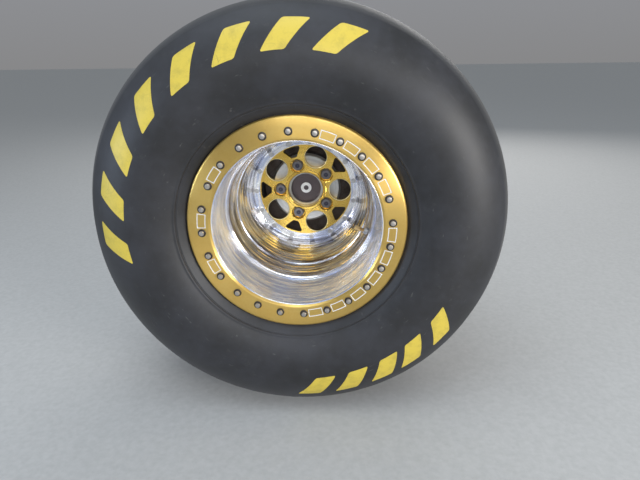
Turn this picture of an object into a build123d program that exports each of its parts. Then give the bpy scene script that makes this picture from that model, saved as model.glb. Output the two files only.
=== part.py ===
from build123d import *
import os
from math import cos, radians, sin

# A deep-dish drag racing rear wheel with its slick tyre, on the end of its axle.
# Frame: +Z up, -Y outboard (the side that faces a bystander), +X towards the car's front.
# The wheel turns about the Y axis. The origin is on that axis, at the face of the brake
# bracket that bolts to the axle housing's flange.
# Lengths are millimetres. Angles are degrees, clockwise from the top as seen from outboard.
os.makedirs("parts", exist_ok=True)

# Planes along the axle
brake_offset = 63.5  # housing flange to the axle flange's outer face
hat_face_t = 8.0  # brake hat's face, between the axle flange and the wheel
front_spacing = 304.0  # wheel seat to the front of the clamp ring
back_spacing = 101.6  # wheel seat to the rim's inboard edge
pad_t = 19.0  # wheel centre at its seat

# Fits
bolt_play = 0.1
slip_fit = 0.2
running_gap = 0.05
moving_gap = 5.5  # between pieces that turn and pieces that don't

# Five wheel nuts
lug_count = 5
lug_circle_r = 60.325  # 4 3/4 in circle
lug_phase = -18.0
stud_d = 12.7
stud_reach = 16.0  # past the wheel seat
stud_head_r = 9.5
stud_head_t = 4.0
nut_flats = 22.2
nut_recess = 3.5  # nut's end behind the wheel's face
nut_flange_r = 13.4
nut_flange_t = 2.0
pocket_r = 15.4
pocket_floor_t = 5.5
stud_play = 0.8

# Bolts that hold the two rim shells to the centre
flange_bolt_count = 15
flange_bolt_circle_r = 116.8
flange_bolt_d = 7.9
flange_head_flats = 10.6
flange_head_h = 6.0
flange_nut_flats = 12.7
flange_nut_h = 6.6

# Rim shells, spun from sheet
sheet = 4.3
mouth_r = 160.8  # inside radius at the outer shell's front edge
lip_depth = 108.0  # front of the ring to the end of the polished lip
lip_taper = 4.3
step_drop = 7.0
step_run = 6.0
barrel_run = 52.0
barrel_taper = 3.5
shelf_drop = 5.0
throat_margin = 8.8  # bolt circle to the throat
flange_margin = 7.8  # bolt circle to the flange's bore
well_gap = 7.0  # inboard shell's barrel outside the caliper
well_chamfer = 14.0
well_run = 38.0
seat_ramp = 18.0
rim_flange_h = 17.0
rim_flange_curl = 15.0
rim_flange_lean = 7.0

# Beadlock
bead_land_r = 189.6
bead_w = 25.0
ring_lip = 18.5  # clamp ring past the bead land
ring_t = 9.5
ring_gap_r = 1.2  # clamp ring's bore outside the shell's mouth
ring_chamfer = 4.5
ring_edge_break = 3.0
clamp_bolt_count = 24
clamp_bolt_phase = -3.1
clamp_bolt_inset = 9.3  # bolt circle inside the bead land
clamp_bolt_d = 7.9
clamp_head_flats = 11.1
clamp_head_h = 5.0
bead_flange_t = 6.0

# Wheel centre
centre_rim_t = 8.0
web_t = 12.0
pad_r = 78.0
pad_slope = 4.0
centre_bore_gap = 0.5
boss_wall = 6.5
boss_rise = 1.8
boss_chamfer = 1.5
round_hole_r = 25.5
round_hole_rim = 0.9
window_rim = 2.0
window_h = 25.4
window_inner_w = 13.0
window_outer_w = 50.0
window_round = 4.5
edge_break = 1.6

# Valve
valve_angle = 110.0
valve_depth = 128.0  # behind the front of the ring
valve_d = 7.6
valve_reach = 30.0
valve_nut_flats = 12.0
valve_nut_h = 5.0
valve_cap_r = 4.8
valve_cap_h = 11.0

# Tyre
tyre_r = 406.4
tread_w = 355.6
section_w = 454.0
bulge_r = 302.0  # radius of the sidewall's widest line
crown_drop = 10.0
shoulder_round = 24.0
sidewall_t = 8.0
tread_t = 10.0
bead_core = 13.0

# Axle shaft
axle_length = 530.0  # flange face to the splined end
axle_flange_r = 76.0
axle_flange_t = 11.0
relief_hole_r = 12.0
relief_circle_r = 56.0
register_r = 41.0
register_wall = 4.6
register_reach = 4.0  # past the wheel seat
neck_r = 24.0
neck_flare = 6.0
shaft_r = 17.5
spline_count = 35
spline_r = 19.05
spline_depth = 1.5
spline_length = 90.0
end_chamfer = 2.0

# Hub plug
plug_t = 4.5
plug_disc_r = 13.0
plug_disc_rise = 1.0
plug_hole_r = 5.75

# Bearing and its retaining collar
bearing_r = 40.0
bearing_w = 21.0
bearing_bore_r = 19.84
race_r = 27.0
seal_r = 34.0
seal_depth = 1.5
collar_r = 26.0
collar_w = 14.0
collar_chamfer = 1.5
seat_overrun = 6.0
seat_taper = 12.0

# Brake disc and hat
disc_plane = -26.0  # middle of the disc, from the housing face
disc_t = 9.0
disc_r = 145.0
hat_wall = 5.0
hat_margin = 8.0  # axle flange to the hat's outside
hat_chamfer = 5.0
hat_flange_t = 5.0
hat_flange_w = 14.0
disc_bolt_count = 8
disc_bolt_d = 6.0
disc_bolt_flats = 9.5
disc_bolt_head_h = 4.0
scallop_r = 14.0
vent_rows = 2
vents_per_row = 12
vent_r = 4.0
vent_margin = 12.0

# Caliper and pads
caliper_half_w = 36.0
caliper_wall = 15.5  # bridge outside the disc
caliper_chord = 62.0  # half of its length along the disc
caliper_round = 8.0
caliper_break = 2.0
piston_r = 19.0
piston_boss_h = 2.5
piston_pitch = 56.0
pad_gap = 0.4
pad_t_all = 13.2  # lining and plate
pad_margin = 7.0
pad_window = 60.0
bridge_bolt_d = 8.0
bridge_bolt_flats = 11.0
bridge_bolt_head_h = 5.0
bridge_bolt_stop = 6.0  # wall left at the end of its hole
bridge_bolt_z = (38.0, 54.0)
ear_w = 28.0
ear_h = 24.0
ear_overlap = 2.0
ear_bolt_inset = 40.0  # from the caliper's outer side
ear_bolt_d = 9.8
ear_bolt_flats = 14.3
ear_bolt_head_h = 7.0
bleeder_r = 3.5
bleeder_reach = 8.0
port_r = 4.3
port_depth = 9.0
port_inset = 31.0  # from the caliper's outer side

# Bracket
bracket_t = 10.0
bracket_lip = 9.0  # how far it covers the bearing's face
housing_bolt_x = 60.3
housing_bolt_z = 90.5
housing_hole_r = 6.5
bolt_margin = 15.8
arm_waist_x = -66.0
arm_margin = 14.0
bracket_round = 10.0
bracket_hole_r = 9.0

# Planes and radii that follow from the sizes above
axle_face = -brake_offset
axle_back = axle_face + axle_flange_t
axle_end = axle_face + axle_length
wheel_seat = axle_face - hat_face_t
centre_front = wheel_seat - pad_t
centre_rim_back = centre_front + centre_rim_t
flange_front = centre_front - sheet
flange_back = centre_rim_back + sheet
ring_front = wheel_seat - front_spacing
ring_back = ring_front + ring_t
rim_edge = wheel_seat + back_spacing
bead_wall = rim_edge - rim_flange_curl - sheet  # the inboard bead rests against this
bead_back = ring_back + bead_w + slip_fit
rim_middle = (ring_back + bead_wall) / 2
half_rim = (bead_wall - ring_back) / 2
flange_bore_r = flange_bolt_circle_r - flange_margin
throat_r = flange_bolt_circle_r + throat_margin
ring_r = bead_land_r + ring_lip
clamp_circle_r = bead_land_r - clamp_bolt_inset
hat_r = axle_flange_r + hat_margin
disc_bore_r = hat_r + 1
disc_circle_r = hat_r + hat_flange_w / 2
hat_back = disc_plane - disc_t / 2
caliper_inner_r = hat_r + hat_flange_w + moving_gap + 0.5
caliper_outer_r = disc_r + moving_gap + caliper_wall
far = 2 * tyre_r  # longer than anything that a cut has to pass through


def turned(face):
    """A face drawn as radius against Y, turned round the axle."""
    return revolve(face, Axis.Y)


def outline(rows):
    """A closed face from rows of (first, second, corner radius)."""
    line = FilletPolyline(*[(a, b) for a, b, _ in rows], radius=[c for _, _, c in rows], close=True)
    return make_face(line)


def spun_sheet(rows):
    """Sheet outside a path of (radius, y) rows, turned round the axle."""
    wall = offset(Polyline(*rows), sheet, kind=Kind.INTERSECTION, side=Side.RIGHT, closed=True)
    return turned(make_face(wall))


def rod(radius, y_from, y_to, x=0.0, z=0.0):
    """A round bar along Y."""
    return Pos(x, (y_from + y_to) / 2, z) * Rot(90, 0, 0) * Cylinder(radius, abs(y_to - y_from))


def tube(r_in, r_out, y_from, y_to):
    return rod(r_out, y_from, y_to) - rod(r_in, y_from, y_to)


def slab(face, y_from, y_to):
    """A face drawn as X against Z, made solid between two planes along Y."""
    return Pos(0, max(y_from, y_to), 0) * Rot(90, 0, 0) * extrude(face, abs(y_to - y_from))


def hexagon(flats, y_from, y_to):
    return slab(RegularPolygon(flats / 2, 6, major_radius=False), y_from, y_to)


def around(shape, radius, angle):
    """Carries a shape from the axle out to a radius, at a clock angle."""
    return Rot(0, angle, 0) * Pos(0, 0, radius) * shape


def ring_of(shape, radius, count, phase=0.0):
    return [around(shape, radius, phase + i * 360 / count) for i in range(count)]


def bolt(shank_d, face, end, flats, head_h):
    """A bolt along Y from the face under its head to its end."""
    way = -1 if end > face else 1
    return rod(shank_d / 2, face, end) + hexagon(flats, face, face + way * head_h)


def save(name, *shapes):
    solids = [s for shape in shapes for s in shape.solids()]
    export_step(Compound(children=solids), f"parts/{name}.step")


# Outer rim shell: polished lip, two steps, and the flange that bolts to the centre
lip_end = ring_front + lip_depth
lip_r = mouth_r - lip_taper
step_r = lip_r - step_drop
barrel_end = lip_end + step_run + barrel_run
barrel_end_r = step_r - barrel_taper
outer_path = [
    (mouth_r, ring_back),
    (lip_r, lip_end),
    (step_r, lip_end + step_run),
    (barrel_end_r, barrel_end),
    (barrel_end_r - shelf_drop, barrel_end + step_run),
    (throat_r, flange_front),
    (flange_bore_r, flange_front),
]
flange_hole = rod(flange_bolt_d / 2 + bolt_play, flange_front - 1, flange_back + 1)
flange_holes = ring_of(flange_hole, flange_bolt_circle_r, flange_bolt_count, lug_phase)
valve_y = ring_front + valve_depth
valve_share = (valve_depth - lip_depth - step_run) / barrel_run
valve_seat_r = step_r - barrel_taper * valve_share
valve_hole = Cylinder(valve_d / 2 + bolt_play, 4 * sheet)
valve_hole = Pos(0, valve_y, 0) * around(valve_hole, valve_seat_r, valve_angle)
outer_shell = spun_sheet(outer_path) - flange_holes - valve_hole
save("outer_shell", outer_shell)

# Inboard rim shell: flange, barrel round the brake, bead seat and rolled rim edge
well_r = caliper_outer_r + well_gap
seat_r = bead_land_r - sheet
inner_path = [
    (flange_bore_r, flange_back),
    (well_r - well_chamfer, flange_back),
    (well_r, flange_back + well_chamfer),
    (well_r, flange_back + well_run),
    (seat_r, flange_back + well_run + seat_ramp),
    (seat_r, bead_wall + sheet),
    (seat_r + rim_flange_h - rim_flange_lean, bead_wall + sheet),
    (seat_r + rim_flange_h, rim_edge),
]
save("inner_shell", spun_sheet(inner_path) - flange_holes)

# Beadlock: inner ring welded to the outer shell, clamp ring and its bolts
weld_r = mouth_r + sheet + bolt_play
bead_flange_r = ring_r - 2
bead_rows = [
    (weld_r, ring_back, 0),
    (bead_land_r, ring_back, 0),
    (bead_land_r, bead_back, 0),
    (bead_flange_r, bead_back, 0),
    (bead_flange_r, bead_back + bead_flange_t, 0),
    (clamp_circle_r, bead_back + bead_flange_t, 0),
    (weld_r, bead_back - bead_flange_t, 0),
]
tapped_hole = rod(clamp_bolt_d / 2 + bolt_play, ring_back - 1, bead_back + 2 * bead_flange_t)
save("bead_ring", turned(outline(bead_rows))
     - ring_of(tapped_hole, clamp_circle_r, clamp_bolt_count, clamp_bolt_phase))

ring_bore_r = mouth_r + ring_gap_r
clamp_rows = [
    (ring_bore_r, ring_back, 0),
    (ring_bore_r, ring_front + ring_chamfer, 0),
    (ring_bore_r + ring_chamfer, ring_front, 0),
    (ring_r - ring_edge_break, ring_front, 0),
    (ring_r, ring_front + ring_edge_break, 0),
    (ring_r, ring_back, 0),
]
clamp_hole = rod(clamp_bolt_d / 2 + slip_fit, ring_front - 1, ring_back + 1)
save("clamp_ring", turned(outline(clamp_rows))
     - ring_of(clamp_hole, clamp_circle_r, clamp_bolt_count, clamp_bolt_phase))
clamp_bolt = bolt(clamp_bolt_d, ring_front, bead_back + bead_flange_t - 1, clamp_head_flats, clamp_head_h)
save("clamp_bolts", *ring_of(clamp_bolt, clamp_circle_r, clamp_bolt_count, clamp_bolt_phase))

# Wheel centre: flat face, thicker seat, raised bore, nut pockets, round holes and windows
centre_bore_r = register_r + centre_bore_gap
boss_r = centre_bore_r + boss_wall
boss_front = centre_front - boss_rise
web_r = flange_bore_r - window_rim - pad_slope
centre_rows = [
    (centre_bore_r, wheel_seat, 0),
    (centre_bore_r, boss_front + boss_chamfer, 0),
    (centre_bore_r + boss_chamfer, boss_front, 0),
    (boss_r, boss_front, 0),
    (boss_r + boss_rise, centre_front, 0),
    (throat_r - 4 * bolt_play, centre_front, 0),
    (throat_r - 4 * bolt_play, centre_rim_back, 0),
    (web_r + pad_slope, centre_rim_back, 0),
    (web_r, centre_front + web_t, 0),
    (pad_r + pad_slope, centre_front + web_t, 0),
    (pad_r, wheel_seat, 0),
]
nut_seat = wheel_seat - pocket_floor_t


def broken_hole(radius, floor):
    """A hole in the wheel's face with its edge broken, down to a plane."""
    edge = Pos(0, centre_front + edge_break / 2, 0) * Rot(90, 0, 0) * Cone(
        radius, radius + edge_break, edge_break)
    return rod(radius, centre_front - boss_rise - 1, floor) + edge


pocket = broken_hole(pocket_r, nut_seat) + rod((stud_d + stud_play) / 2, nut_seat - 1, wheel_seat + 1)
round_hole = broken_hole(round_hole_r, wheel_seat + 1)
window_r = flange_bore_r - window_rim
window_rows = [
    (-window_inner_w / 2, window_r - window_h),
    (-window_outer_w / 2, window_r),
    (window_outer_w / 2, window_r),
    (window_inner_w / 2, window_r - window_h),
]
window_face = make_face(Polyline(*window_rows, close=True)) & Circle(window_r)
window = slab(fillet(window_face.vertices(), window_round), centre_front - 1, wheel_seat + 1)
half_pitch = 180 / lug_count
wheel_centre = turned(outline(centre_rows)) - flange_holes
wheel_centre -= ring_of(pocket, lug_circle_r, lug_count, lug_phase)
wheel_centre -= ring_of(round_hole, flange_bore_r - round_hole_rim - round_hole_r, lug_count,
                        lug_phase + half_pitch)
wheel_centre -= ring_of(window, 0, lug_count, lug_phase)
save("wheel_centre", wheel_centre)

# Bolts, nuts and studs of the wheel
flange_bolt_end = flange_back + flange_nut_h + 1
flange_bolt = bolt(flange_bolt_d, flange_front, flange_bolt_end, flange_head_flats, flange_head_h)
flange_bolt += hexagon(flange_nut_flats, flange_back, flange_back + flange_nut_h)
save("flange_bolts", *ring_of(flange_bolt, flange_bolt_circle_r, flange_bolt_count, lug_phase))

nut_front = centre_front + nut_recess
lug_nut = (hexagon(nut_flats, nut_front, nut_seat - nut_flange_t)
           + rod(nut_flange_r, nut_seat - nut_flange_t, nut_seat)
           - rod((stud_d + bolt_play) / 2, nut_front - 1, nut_seat + 1))
save("lug_nuts", *ring_of(lug_nut, lug_circle_r, lug_count, lug_phase))
stud = rod(stud_d / 2, wheel_seat - stud_reach, axle_back)
stud += rod(stud_head_r, axle_back, axle_back + stud_head_t)
save("wheel_studs", *ring_of(stud, lug_circle_r, lug_count, lug_phase))

# Valve, bolted through the barrel behind the step
inward = (Align.CENTER, Align.CENTER, Align.MAX)
outward = (Align.CENTER, Align.CENTER, Align.MIN)
valve_tip = -valve_reach
valve = (extrude(RegularPolygon(valve_nut_flats / 2, 6, major_radius=False), -valve_nut_h)
         + Cylinder(valve_d / 2, valve_reach, align=inward)
         + Pos(0, 0, valve_tip + valve_cap_h) * Cylinder(valve_cap_r, valve_cap_h, align=inward)
         + Cylinder(valve_d / 2, sheet + 1, align=outward)
         + Pos(0, 0, sheet + 1) * Cylinder(valve_nut_flats / 2, 2.0, align=outward))
save("valve_stem", Pos(0, valve_y, 0) * around(valve, valve_seat_r - 0.6, valve_angle))

# Tyre: one section, symmetrical about the rim's middle, its points as (radius, distance from it)
bead_in_r = bead_land_r + slip_fit
bead_face = half_rim - bolt_play
bead_toe = bead_face - bead_w
shoulder_r = tyre_r - crown_drop
sidewall = [(ring_r + slip_fit, bead_face), (bulge_r, section_w / 2), (shoulder_r, tread_w / 2)]
bead = [sidewall[0], (bead_in_r, bead_face), (bead_in_r, bead_toe), (bead_in_r + bead_core, bead_toe)]
liner = [
    bead[-1],
    (ring_r + bead_core, half_rim),
    (bulge_r, section_w / 2 - sidewall_t),
    (shoulder_r - shoulder_round - tread_t, (section_w + tread_w) / 4 - sidewall_t / 2),
    (shoulder_r - tread_t, tread_w / 2 - sidewall_t),
]


def tyre_points(rows, hand):
    return [(r, rim_middle + hand * d) for r, d in rows]


section = [ThreePointArc(*tyre_points([sidewall[2], (tyre_r, 0)], -1), *tyre_points(sidewall[2:], 1))]
section += [Polyline(*tyre_points(liner + [(tyre_r - tread_t, 0)], -1), *tyre_points(liner[::-1], 1))]
for hand in (-1, 1):
    section += [ThreePointArc(*tyre_points(sidewall, hand)), Polyline(*tyre_points(bead, hand))]
tyre_face = make_face(section)
shoulders = [v for v in tyre_face.vertices() if abs(v.X - shoulder_r) < bolt_play]
save("tyre", turned(fillet(shoulders, shoulder_round)))

# Axle shaft: flange with its register ring, neck, bearing seat, shaft and splined end
seat_end = bearing_w + collar_w + seat_overrun
shaft_rows = [
    (0, axle_face, 0),
    (register_r - register_wall, axle_face, 0),
    (register_r - register_wall, wheel_seat - register_reach, 0),
    (register_r, wheel_seat - register_reach, 0),
    (register_r, axle_face, 0),
    (axle_flange_r, axle_face, 0),
    (axle_flange_r, axle_back, 0),
    (neck_r + neck_flare, axle_back, 0),
    (neck_r, axle_back + neck_flare, 0),
    (neck_r, 0, 0),
    (bearing_bore_r, 0, 0),
    (bearing_bore_r, seat_end, 0),
    (shaft_r, seat_end + seat_taper, 0),
    (shaft_r, axle_end - end_chamfer, 0),
    (shaft_r - end_chamfer, axle_end, 0),
    (0, axle_end, 0),
]
tooth = 360 / spline_count
root_r = spline_r - spline_depth
tooth_rows = [(root_r, 0.0), (root_r, 0.35), (spline_r, 0.5), (spline_r, 0.85)]  # radius, share of a tooth
tooth_turns = [(r, radians((i + share) * tooth)) for i in range(spline_count) for r, share in tooth_rows]
spline_face = make_face(Polyline(*[(r * sin(a), r * cos(a)) for r, a in tooth_turns], close=True))
spline = slab(spline_face, axle_end - spline_length, axle_end - end_chamfer)
stud_hole = rod((stud_d + bolt_play) / 2, axle_face - 1, axle_back + 1)
relief_hole = rod(relief_hole_r, axle_face - 1, axle_back + 1)
axle_shaft = turned(outline(shaft_rows)) + spline
axle_shaft -= ring_of(stud_hole, lug_circle_r, lug_count, lug_phase)
axle_shaft -= ring_of(relief_hole, relief_circle_r, lug_count, lug_phase + half_pitch)
save("axle_shaft", axle_shaft)

plug_r = register_r - register_wall - bolt_play
plug_front = axle_face - plug_t
disc_front = plug_front - plug_disc_rise
hub_plug = rod(plug_r, plug_front, axle_face) + rod(plug_disc_r, disc_front, plug_front)
save("hub_plug", hub_plug - rod(plug_hole_r, disc_front - 1, plug_front + plug_t / 2))

# Brake hat and drilled disc
hat_inner_r = hat_r - hat_wall
hat_rows = [
    (register_r + bolt_play, wheel_seat, 0),
    (hat_r - hat_chamfer, wheel_seat, 0),
    (hat_r, wheel_seat + hat_chamfer, 0),
    (hat_r, hat_back - hat_flange_t, 0),
    (hat_r + hat_flange_w, hat_back - hat_flange_t, 0),
    (hat_r + hat_flange_w, hat_back, 0),
    (hat_inner_r, hat_back, 0),
    (hat_inner_r, axle_face, 0),
    (register_r + bolt_play, axle_face, 0),
]
disc_hole = rod(disc_bolt_d / 2 + bolt_play, hat_back - hat_flange_t - 1, hat_back + disc_t + 1)
disc_holes = ring_of(disc_hole, disc_circle_r, disc_bolt_count)
scallop = rod(scallop_r, hat_back - hat_flange_t - 1, hat_back + 1)
rotor_hat = turned(outline(hat_rows)) - disc_holes
rotor_hat -= ring_of(scallop, disc_circle_r + scallop_r, disc_bolt_count, 180 / disc_bolt_count)
hat_hole = rod((stud_d + stud_play) / 2, wheel_seat - 1, axle_face + 1)
rotor_hat -= ring_of(hat_hole, lug_circle_r, lug_count, lug_phase)
save("rotor_hat", rotor_hat)

rotor_disc = tube(disc_bore_r, disc_r, hat_back, hat_back + disc_t) - disc_holes
vent = rod(vent_r, hat_back - 1, hat_back + disc_t + 1)
vent_from = caliper_inner_r + vent_margin
vent_step = (disc_r - vent_margin - vent_from) / (vent_rows - 1)
for row in range(vent_rows):
    turn = row * 360 / vents_per_row / vent_rows
    rotor_disc -= ring_of(vent, vent_from + row * vent_step, vents_per_row, turn)
save("rotor_disc", rotor_disc)
disc_bolt_face = hat_back - hat_flange_t
disc_bolt = bolt(disc_bolt_d, disc_bolt_face, hat_back + disc_t + 2, disc_bolt_flats, disc_bolt_head_h)
save("rotor_bolts", *ring_of(disc_bolt, disc_circle_r, disc_bolt_count))

# Bearing rings and the collar that holds them on the shaft
outer_race_rows = [
    (race_r, seal_depth, 0), (seal_r, seal_depth, 0), (seal_r, 0, 0), (bearing_r, 0, 0),
    (bearing_r, bearing_w, 0), (seal_r, bearing_w, 0),
    (seal_r, bearing_w - seal_depth, 0), (race_r, bearing_w - seal_depth, 0),
]
shaft_fit_r = bearing_bore_r + running_gap / 2
collar_rows = [
    (shaft_fit_r, bearing_w, 0), (collar_r, bearing_w, 0),
    (collar_r, bearing_w + collar_w - collar_chamfer, 0),
    (collar_r - collar_chamfer, bearing_w + collar_w, 0), (shaft_fit_r, bearing_w + collar_w, 0),
]
save("bearing_outer", turned(outline(outer_race_rows)))
save("bearing_inner", tube(shaft_fit_r, race_r - running_gap, 0, bearing_w))
save("retaining_collar", turned(outline(collar_rows)))

# Bracket: bolts to the housing flange, holds the bearing in, carries the caliper by two arms
caliper_edge = caliper_inner_r - 6  # the caliper's straight side
ear_bolt_x = ear_bolt_inset - caliper_outer_r
ear_bolt_z = caliper_chord + ear_h / 2 - ear_overlap / 2
base_x = housing_bolt_x / 2 + bolt_margin
base_z = housing_bolt_z / 2 + bolt_margin
arm_x = ear_bolt_x - arm_margin
arm_z = ear_bolt_z + arm_margin
web_x = -caliper_edge + moving_gap
slot_z = caliper_chord + 2
half_bracket = [
    (base_x, base_z, bracket_round),
    (-base_x / 2, base_z, bracket_round),
    (arm_waist_x, arm_z, bracket_round),
    (arm_x, arm_z, bracket_round),
    (arm_x, slot_z, bracket_round / 2),
    (web_x, slot_z, bracket_round / 2),
]
bracket_rows = half_bracket + [(x, -z, c) for x, z, c in reversed(half_bracket)]
holes = [(housing_hole_r, sx * housing_bolt_x / 2, sz * housing_bolt_z / 2)
         for sx in (-1, 1) for sz in (-1, 1)]
holes += [((ear_bolt_d + slip_fit) / 2, ear_bolt_x, sz * ear_bolt_z) for sz in (-1, 1)]
holes += [(bracket_hole_r, arm_waist_x, sz * base_z / 2) for sz in (-1, 0, 1)]
holes += [(bearing_r - bracket_lip, 0, 0)]
bracket = slab(outline(bracket_rows), -bracket_t, 0)
for radius, x, z in holes:
    bracket -= rod(radius, -bracket_t - 1, 1, x, z)
save("bracket", bracket)

# Caliper: two halves bolted together over the disc, with ears on the inboard half
caliper_front = disc_plane - caliper_half_w
caliper_back = disc_plane + caliper_half_w
pad_depth = disc_t / 2 + pad_gap + pad_t_all
caliper_depth = caliper_outer_r - caliper_edge
caliper_box = Pos(-caliper_edge - caliper_depth / 2, 0) * RectangleRounded(
    caliper_depth + 2 * caliper_round, 2 * caliper_chord, caliper_round)
caliper_plan = caliper_box & (Circle(caliper_outer_r) - Circle(caliper_inner_r)) & (
    Pos(-caliper_edge - far / 2, 0) * Rectangle(far, far))
caliper = slab(caliper_plan, caliper_front, caliper_back)
caliper = chamfer(caliper.faces().sort_by(Axis.Y)[0].edges(), caliper_break)
caliper = chamfer(caliper.faces().sort_by(Axis.Y)[-1].edges(), caliper_break)
caliper -= rod(disc_r + moving_gap, disc_plane - pad_depth - bolt_play, disc_plane + pad_depth + bolt_play)
caliper -= Pos(-disc_r, disc_plane, 0) * Box(pad_window, 2 * (pad_depth + bolt_play), pad_window)
bridge_mid_r = (disc_r + moving_gap + caliper_outer_r) / 2
bridge_places = [(-(bridge_mid_r**2 - z**2) ** 0.5, sz * z) for z in bridge_bolt_z for sz in (-1, 1)]
for x, z in bridge_places:
    caliper -= rod(bridge_bolt_d / 2 + bolt_play, caliper_front + bridge_bolt_stop, caliper_back + 1, x, z)
piston_mid_r = (caliper_inner_r + disc_r) / 2
piston_places = [(-(piston_mid_r**2 - piston_pitch**2 / 4) ** 0.5, sz * piston_pitch / 2) for sz in (-1, 1)]
outboard_side = Pos(0, disc_plane - far / 2, 0) * Box(far, far, far)
caliper_outer = caliper & outboard_side
caliper_inner = caliper - outboard_side
for x, z in piston_places:
    caliper_outer += rod(piston_r, caliper_front - piston_boss_h, caliper_front + 1, x, z)
    caliper_inner += rod(piston_r, caliper_back - 1, caliper_back + piston_boss_h, x, z)
for sz in (-1, 1):
    ear_z = sz * (caliper_chord - ear_overlap + ear_h / 2)
    caliper_inner += Pos(ear_bolt_x, caliper_back / 2, ear_z) * Box(ear_w, caliper_back, ear_h)
    caliper_inner -= rod((ear_bolt_d + slip_fit) / 2, -1, caliper_back + 1, ear_bolt_x, sz * ear_bolt_z)
port_x = port_inset - caliper_outer_r
caliper_inner -= rod(port_r, caliper_back - port_depth, caliper_back + piston_boss_h + 1, port_x, 0)
save("caliper_outer", caliper_outer)
save("caliper_inner", caliper_inner)

bridge_end = caliper_front + bridge_bolt_stop + 1
bridge_bolt = bolt(bridge_bolt_d, caliper_back, bridge_end, bridge_bolt_flats, bridge_bolt_head_h)
ear_bolt = bolt(ear_bolt_d, caliper_back, -bracket_t, ear_bolt_flats, ear_bolt_head_h)
save("caliper_bolts", *[Pos(x, 0, z) * bridge_bolt for x, z in bridge_places],
     *[Pos(ear_bolt_x, 0, sz * ear_bolt_z) * ear_bolt for sz in (-1, 1)])
bleeder = (Cylinder(bleeder_r, bleeder_reach, align=outward)
           + extrude(RegularPolygon(bleeder_r + 1, 6, major_radius=False), bleeder_reach / 2))
bleeder_depth = (caliper_half_w + pad_depth) / 2
bleeder_x = -(bridge_mid_r**2 - caliper_chord**2) ** 0.5
bleeder_places = [(bleeder_x, disc_plane + hand * bleeder_depth, caliper_chord) for hand in (-1, 1)]
save("bleed_screws", *[Pos(*place) * bleeder for place in bleeder_places])

pad_plan = (Circle(disc_r - 1) - Circle(caliper_inner_r + 2)) & (
    Pos(-caliper_edge - caliper_depth / 2, 0) * Rectangle(caliper_depth, 2 * (caliper_chord - pad_margin)))
for name, hand in (("pad_outer", -1), ("pad_inner", 1)):
    save(name, slab(pad_plan, disc_plane + hand * (disc_t / 2 + pad_gap), disc_plane + hand * pad_depth))
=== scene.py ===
import bpy
import bmesh
import math
from mathutils import Matrix, Vector


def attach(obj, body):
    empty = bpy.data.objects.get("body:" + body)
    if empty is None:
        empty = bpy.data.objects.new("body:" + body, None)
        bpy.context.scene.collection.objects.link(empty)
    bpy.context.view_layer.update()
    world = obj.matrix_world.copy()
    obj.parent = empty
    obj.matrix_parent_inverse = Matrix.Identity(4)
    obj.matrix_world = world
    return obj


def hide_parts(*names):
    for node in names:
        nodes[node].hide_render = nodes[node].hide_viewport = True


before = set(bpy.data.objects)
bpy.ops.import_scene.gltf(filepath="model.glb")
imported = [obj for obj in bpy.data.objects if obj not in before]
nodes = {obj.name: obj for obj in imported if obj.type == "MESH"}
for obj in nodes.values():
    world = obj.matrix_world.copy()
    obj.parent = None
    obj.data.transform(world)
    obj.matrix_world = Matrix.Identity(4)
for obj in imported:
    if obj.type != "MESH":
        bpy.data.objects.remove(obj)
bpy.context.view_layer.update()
mm = 0.001
axle = Vector((0, 1, 0))  # the wheel turns about this
mergeGap = 0.000002  # points nearer than this are one, in metres
flatGap = 0.000001  # a point this near a plane lies in it
cutGap = 0.0000001  # a cut this near a point goes through it
print("frame loaded,", len(nodes), "nodes")

# Clock angles are degrees from the top, clockwise as seen from outboard. The pieces and the lens are in
# millimetres; places of the camera and the lights, the materials and the floor are in metres.


def addObject(name, data):
    made = bpy.data.objects.new(name, data)
    bpy.context.scene.collection.objects.link(made)
    return made


def lookFrom(place, aim):  # stands at the place and faces the aim
    turn = (Vector(aim) - Vector(place)).to_track_quat("-Z", "Y").to_matrix().to_4x4()
    return Matrix.Translation(place) @ turn


# Camera, at the photo's angle
cameraSet = {
    "place": (0.0785, -1.2802, 0.3082),
    "aim": (0.0438, -0.3755, -0.0238),
    "roll": -0.76,
    "lens": 28.69,
    "sensor": 36,
}


def addCamera(s):
    data = bpy.data.cameras.new("camera")
    data.lens = s["lens"]
    data.sensor_width = s["sensor"]
    cam = addObject("camera", data)
    cam.matrix_world = lookFrom(s["place"], s["aim"]) @ Matrix.Rotation(math.radians(s["roll"]), 4, "Z")
    bpy.context.scene.camera = cam


addCamera(cameraSet)
bpy.context.scene.view_settings.view_transform = "Standard"
print("camera set")


# Shader helpers
def newMaterial(name):
    mat = bpy.data.materials.new(name)
    mat.use_nodes = True
    tree = mat.node_tree
    tree.nodes.clear()
    out = tree.nodes.new("ShaderNodeOutputMaterial")
    shader = tree.nodes.new("ShaderNodeBsdfPrincipled")
    tree.links.new(shader.outputs[0], out.inputs[0])
    return mat, tree, shader


def addNode(tree, kind, values=None, **settings):
    node = tree.nodes.new(kind)
    for key, value in settings.items():
        setattr(node, key, value)
    for socket, value in (values or {}).items():
        if isinstance(value, bpy.types.NodeSocket):
            tree.links.new(value, node.inputs[socket])
        else:
            node.inputs[socket].default_value = value
    return node


def mathNode(tree, operation, *values):
    return addNode(tree, "ShaderNodeMath", dict(enumerate(values)), operation=operation).outputs[0]


def addUp(tree, base, *shares):  # the base plus each value times its share
    for value, share in shares:
        base = mathNode(tree, "MULTIPLY_ADD", value, share, base)
    return base


def mixColour(tree, factor, a, b):  # a and b are sockets or (red, green, blue), for inputs 6 and 7
    a, b = [(*side, 1) if isinstance(side, tuple) else side for side in (a, b)]
    return addNode(tree, "ShaderNodeMix", {0: factor, 6: a, 7: b}, data_type="RGBA").outputs[2]


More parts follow.
